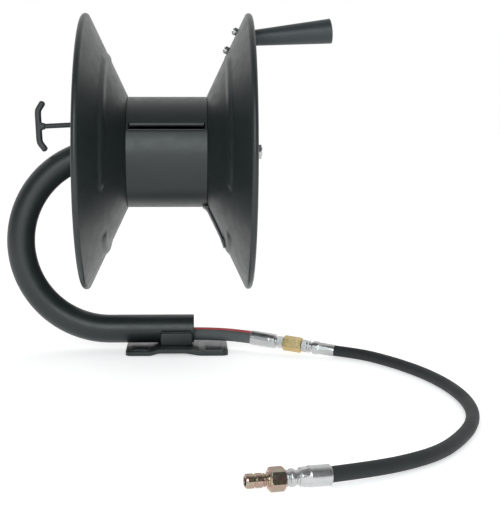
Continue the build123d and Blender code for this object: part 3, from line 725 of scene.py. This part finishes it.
def slot_lip():
    """Rolled-in edge along the top of the hose slot, so that the hose isn't cut."""
    sheet, roll, tail = 0.0022, 0.0042, 0.0012
    clock = SLOT_CLOCK - SLOT_SPAN / 2
    top_r = shell_radius(clock - 1)
    turns = [radians(95) * k / 12 for k in range(13)]
    outer = [(top_r - roll + roll * cos(a), roll * sin(a)) for a in turns]
    thin = roll - sheet
    inner = [(top_r - roll + thin * cos(a), thin * sin(a)) for a in turns]
    section = [(top_r, -tail)] + outer + inner[::-1] + [(top_r - sheet, -tail)]
    ends = (DRUM_LEFT + SLOT_EDGE + LIP_NOTCH, DRUM_RIGHT - SLOT_EDGE - LIP_NOTCH)
    lip = placed("slot_lip", extruded(section, *ends), on_axle(0, clock))
    finished(lip, "black_coat", "drum", sharp=40)


def slot_sill():
    """Round bar along the bottom of the hose slot, let into the shell at both ends."""
    clock = SLOT_CLOCK + SLOT_SPAN / 2 - degrees((SILL_GAP + SILL_R) / SHELL_R)
    inset = SLOT_EDGE - 0.0005
    length = DRUM_RIGHT - DRUM_LEFT - 2 * inset
    bar = spun([(0, 0), (0, SILL_R), (length, SILL_R), (length, 0)], 24)
    place = on_axle(DRUM_LEFT + inset, clock) @ Matrix.Translation((SHELL_R - 0.4 * SILL_R, 0, 0))
    finished(placed("slot_sill", bar, place), "black_coat", "drum", sharp=40)


# ---- arm -----------------------------------------------------------------------------
def pipe_station(kind, value):
    """Centre and outward direction of the arm pipe's section: on the upper straight
    (value is x), round the bend (value is the angle from the top) or on the lower."""
    if kind == "upper":
        return Vector((value, 0, AXIS_Z)), UP
    if kind == "lower":
        return Vector((value, 0, PIPE_Z)), -UP
    out = Vector((-sin(value), 0, cos(value)))
    return Vector((BEND_X, 0, PIPE_Z + BEND_R)) + BEND_R * out, out


def arm_pipe():
    segments, chamfer = 72, 0.0007
    stations = [("upper", PIPE_END_X), ("upper", PIPE_END_X - chamfer)]
    stations += [("bend", pi * k / 72) for k in range(73)]
    stations += [("lower", BEND_X + 0.01 * k) for k in range(1, 14)]
    stations += [("lower", PIPE_MOUTH_X - chamfer), ("lower", PIPE_MOUTH_X)]
    rows = []
    for index, (kind, value) in enumerate(stations):
        trim = chamfer if index in (0, len(stations) - 1) else 0.0
        rows.append((kind, value, PIPE_R - trim))
    rows += [(kind, value, PIPE_R - PIPE_WALL) for kind, value in reversed(stations)]
    verts = []
    for kind, value, radius in rows:
        centre, out = pipe_station(kind, value)
        squeeze = BEND_SQUEEZE * sin(value) if kind == "bend" else 0.0
        for k in range(segments):
            angle = 2 * pi * k / segments
            reach = radius - squeeze * max(cos(angle), 0) ** 2
            verts.append(centre + reach * cos(angle) * out + radius * sin(angle) * BACK)
    pipe = new_object("arm_pipe_bent", verts, grid_faces(len(rows), segments, True, True))
    finished(pipe, "black_coat", "frame", "arm_pipe")


def weld_beads():
    """Lumpy run of weld in the notch between each lug and the pipe."""
    for side, lug in ((-1, "front_lug"), (1, "rear_lug")):
        low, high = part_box(lug)
        x0, x1 = low.x + 0.0015, high.x - 0.0015
        y = side * (PIPE_R + 0.0014)
        z = high.z + 0.0007
        count, segments = 150, 20
        verts = []
        for i in range(count + 1):
            t = i / count
            x = x0 + (x1 - x0) * t
            taper = min(1.0, (min(t, 1 - t) * count / 6) ** 0.5) if 0 < t < 1 else 0.0
            pool = abs(sin(pi * (x - x0) / 0.0034 + 0.8 * noise.noise((x * 160, side, 0))))
            size = (0.0030 + 0.0007 * pool + 0.0008 * noise.noise((x * 120, 3.0 * side, 5))) * taper
            shift = 0.0008 * noise.noise((x * 90, 7.0 * side, 1))
            for k in range(segments):
                a = 2 * pi * k / segments
                verts.append((x, y + size * cos(a), z + shift + size * 0.9 * sin(a)))
        bead = new_object(("front" if side < 0 else "rear") + "_weld_bead", verts,
                          grid_faces(count + 1, segments, False, True))
        finished(bead, "black_coat", "frame", *(["lug_welds"] if side < 0 else []), sharp=60)


# ---- CAD shapes with their edges rounded ---------------------------------------------
def softened(node, width, angle=33.0, segments=3, shape=None):
    """Copy of a CAD node with its flat faces merged and its sharp edges rounded."""
    piece = bpy.data.objects.new(node + "_soft_edged", frame["nodes"][node].data.copy())
    bpy.context.scene.collection.objects.link(piece)
    bm = bmesh.new()
    bm.from_mesh(piece.data)
    bmesh.ops.remove_doubles(bm, verts=bm.verts, dist=1e-6)
    bmesh.ops.dissolve_limit(bm, angle_limit=radians(0.5), verts=bm.verts, edges=bm.edges)
    if shape:
        shape(bm)
    bm.to_mesh(piece.data)
    bm.free()
    bevel = piece.modifiers.new("edges", "BEVEL")
    bevel.width = width
    bevel.segments = segments
    bevel.limit_method = "ANGLE"
    bevel.angle_limit = radians(angle)
    bevel.harden_normals = False
    applied(piece)
    body = frame["nodes"][node]["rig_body"]
    return finished(piece, SLOT_OF[node], body, node, sharp=33.0)


def smooth_ramps(bm):
    """Turns the base plate's two straight ramps into smooth pressed ones."""
    rise, ramps, soften = PLATE_RISE, PLATE_RAMPS, RAMP_SOFTEN
    for k in range(26):
        for x0, x1 in ramps:
            x = x0 - soften + (x1 - x0 + 2 * soften) * k / 25
            everything = bm.verts[:] + bm.edges[:] + bm.faces[:]
            bmesh.ops.bisect_plane(bm, geom=everything, plane_co=(x, 0, 0), plane_no=(1, 0, 0))

    def straight(x):
        left = min(max((x - ramps[0][0]) / (ramps[0][1] - ramps[0][0]), 0), 1)
        right = min(max((ramps[1][1] - x) / (ramps[1][1] - ramps[1][0]), 0), 1)
        return rise * min(left, right)

    def smooth(x):
        left = eased((x - ramps[0][0] + soften) / (ramps[0][1] - ramps[0][0] + 2 * soften))
        right = eased((ramps[1][1] + soften - x) / (ramps[1][1] - ramps[1][0] + 2 * soften))
        return rise * min(left, right)

    for vert in bm.verts:
        vert.co.z += smooth(vert.co.x) - straight(vert.co.x)


def short_foot(bm):
    """Shortens the strap's foot on the shell, most of which the wound hose would cover."""
    for vert in bm.verts:
        if vert.co.x < DRUM_RIGHT - FOOT_FROM:
            vert.co.x += FOOT_CUT


def soft_edged_nodes():
    softened("base_plate", 0.0012, shape=smooth_ramps)
    for node in ("front_lug", "rear_lug"):
        softened(node, 0.0014)
    softened("crank_bracket", 0.0007)
    softened("pin_guide", 0.0006)
    softened("lock_ring", 0.0005)
    softened("arm_plug", 0.0005)
    for node in ("bracket_bolts", "bracket_nuts", "left_hub_bolts", "left_hub_nuts",
                 "right_hub_bolts", "right_hub_nuts", "axle_nut", "grip_bolt"):
        softened(node, 0.0005, segments=2)
    softened("hose_strap", 0.0005, shape=short_foot)
    for node in ("end_washer", "thrust_washer", "left_hub", "right_hub", "swivel_outlet"):
        softened(node, 0.0004, segments=2)


# ---- lock pin ------------------------------------------------------------------------
def t_handle():
    """Cast bow across the end of the lock rod, with a boss that runs into it."""
    slide = Vector(JOINTS["lock_pin_slide"]["axis"])
    rod_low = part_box("lock_rod")[0]
    tee = Vector((rod_low.x, 0, rod_low.z + PIN_R))
    place = aimed(tee, slide, UP)
    half_bow = [(0.0215, 0.0), (0.0270, 0.0006), (0.0310, 0.0028), (0.0365, 0.0068),
                (0.0426, 0.0100)]
    bow = [(-along, back) for along, back in reversed(half_bow)] + [(0.0, 0.0)] + half_bow
    line = dense(bow, 0.001)
    rows, segments = len(line), 24
    verts, last = [], rows - 1
    for i, (along, back) in enumerate(line):
        ahead = Vector(line[min(i + 1, last)]) - Vector(line[max(i - 1, 0)])
        ahead.normalize()
        across = Vector((-ahead.y, ahead.x))
        end = min(i, last - i) * 0.001
        close = (1 - (1 - min(end / T_END, 1)) ** 2) ** 0.5
        for k in range(segments):
            angle = 2 * pi * k / segments
            c, s = cos(angle), sin(angle)
            u = abs(c) ** 0.75 * (1 if c > 0 else -1) * T_THICK / 2 * close
            v = abs(s) ** 0.75 * (1 if s > 0 else -1) * T_DEPTH / 2 * close
            verts.append((along + across.x * u, v, back + across.y * u))
    faces = grid_faces(rows, segments, False, True)
    faces += [tuple(range(segments)), tuple(range(last * segments, rows * segments))]
    boss = rounded([(-0.001, 0, 0), (-0.001, 0.0115, 0), (0.0042, 0.0088, 0.002),
                    (0.0060, 0.0060, 0.003), (0.0110, 0.0056, 0.0015), (0.0110, 0, 0)])
    boss_verts, boss_faces = spun(boss, 32)
    boss_verts = [(x, max(-T_SQUASH, min(T_SQUASH, y)), z) for x, y, z in boss_verts]
    faces += [tuple(i + len(verts) for i in face) for face in boss_faces]
    verts += boss_verts
    handle = placed("t_handle_cast", (verts, faces), place)
    clean(handle, 30)
    remesh = handle.modifiers.new("one_skin", "REMESH")
    remesh.mode = "VOXEL"
    remesh.voxel_size = 0.0006
    smooth = handle.modifiers.new("cast_radii", "SMOOTH")
    smooth.factor, smooth.iterations = 0.5, 8
    applied(handle)
    finished(handle, "dark_cast", "lock_pin", "t_handle", sharp=80)


# ---- crank grip ----------------------------------------------------------------------
def crank_grip():
    """Tapered moulded grip with a domed end, turning on its bolt."""
    joint = JOINTS["grip_spin"]
    along = Vector(joint["axis"]).normalized()
    rim = GRIP_LENGTH - GRIP_DOME

    def taper(station):
        return GRIP_R0 + (GRIP_R1 - GRIP_R0) * station / GRIP_LENGTH

    corners = [(GRIP_BORE_DEPTH, 0, 0), (GRIP_BORE_DEPTH, GRIP_BORE_R, 0), (0.0, GRIP_BORE_R, 0.0),
               (0.0, GRIP_R0 - 0.0012, 0.0003), (0.0012, GRIP_R0, 0.0008),
               (rim - 0.0006, taper(rim), 0.0012)]
    profile = dense(rounded(corners), 0.006)
    dome = [(rim + GRIP_DOME * (1 - (k / 10) ** 2), taper(rim) * k / 10)
            for k in range(9, -1, -1)]
    place = aimed(Vector(joint["pos_m"]), along, UP)
    grip = placed("crank_grip_moulded", spun(profile + dome, 96), place)
    finished(grip, "grip_plastic", "grip", "crank_grip", sharp=50)


# ---- CAD nodes that keep their shape --------------------------------------------------
def coat_cad_nodes():
    for node, piece in frame["nodes"].items():
        piece.data.materials.clear()
        piece.data.materials.append(FINISHES[SLOT_OF[node]])
        piece.data.shade_smooth()
        piece.data.set_sharp_from_angle(angle=radians(30))


# ---- light and floor -----------------------------------------------------------------
def area_light(name, place, target, size, energy, colour=(1, 1, 1)):
    data = bpy.data.lights.new(name, "AREA")
    data.shape = "RECTANGLE"
    data.size, data.size_y = size
    data.energy = energy
    data.color = colour
    light = bpy.data.objects.new(name, data)
    light.location = place
    light.rotation_euler = (Vector(target) - Vector(place)).to_track_quat("-Z", "Y").to_euler()
    bpy.context.scene.collection.objects.link(light)


def studio():
    world = bpy.data.worlds.new("studio")
    bpy.context.scene.world = world
    world.use_nodes = True
    nodes, links = world.node_tree.nodes, world.node_tree.links
    coordinate = nodes.new("ShaderNodeTexCoord").outputs["Generated"]
    split = nodes.new("ShaderNodeSeparateXYZ")
    links.new(coordinate, split.inputs["Vector"])
    turn = nodes.new("ShaderNodeMapRange")
    turn.inputs["From Min"].default_value = -0.3
    turn.inputs["From Max"].default_value = 0.5
    turn.inputs["To Min"].default_value = 0.10
    turn.inputs["To Max"].default_value = 1.0
    links.new(split.outputs["Y"], turn.inputs["Value"])
    links.new(turn.outputs["Result"], nodes["Background"].inputs["Strength"])
    nodes["Background"].inputs["Color"].default_value = (1, 1, 1, 1)
    area_light("front_softbox", (-0.3, -2.7, 1.30), (0, 0, 0.3), (2.2, 1.7), 46, (0.93, 1.0, 1.02))
    half = 30
    corners = [(-half, -half, 0), (half, -half, 0), (half, half, 0), (-half, half, 0)]
    floor = new_object("floor", corners, [(0, 1, 2, 3)])
    material, _, _, bsdf = shader("floor_paper")
    bsdf.inputs["Base Color"].default_value = (0.93, 0.93, 0.93, 1)
    bsdf.inputs["Roughness"].default_value = 0.8
    bsdf.inputs["Emission Color"].default_value = (1, 1, 1, 1)
    bsdf.inputs["Emission Strength"].default_value = 0.52
    floor.data.materials.append(material)
    bpy.context.scene.view_settings.view_transform = "Standard"


make_camera()
cords()
coat_cad_nodes()
drum_flanges()
drum_shell()
slot_lip()
slot_sill()
arm_pipe()
weld_beads()
soft_edged_nodes()
t_handle()
crank_grip()
studio()
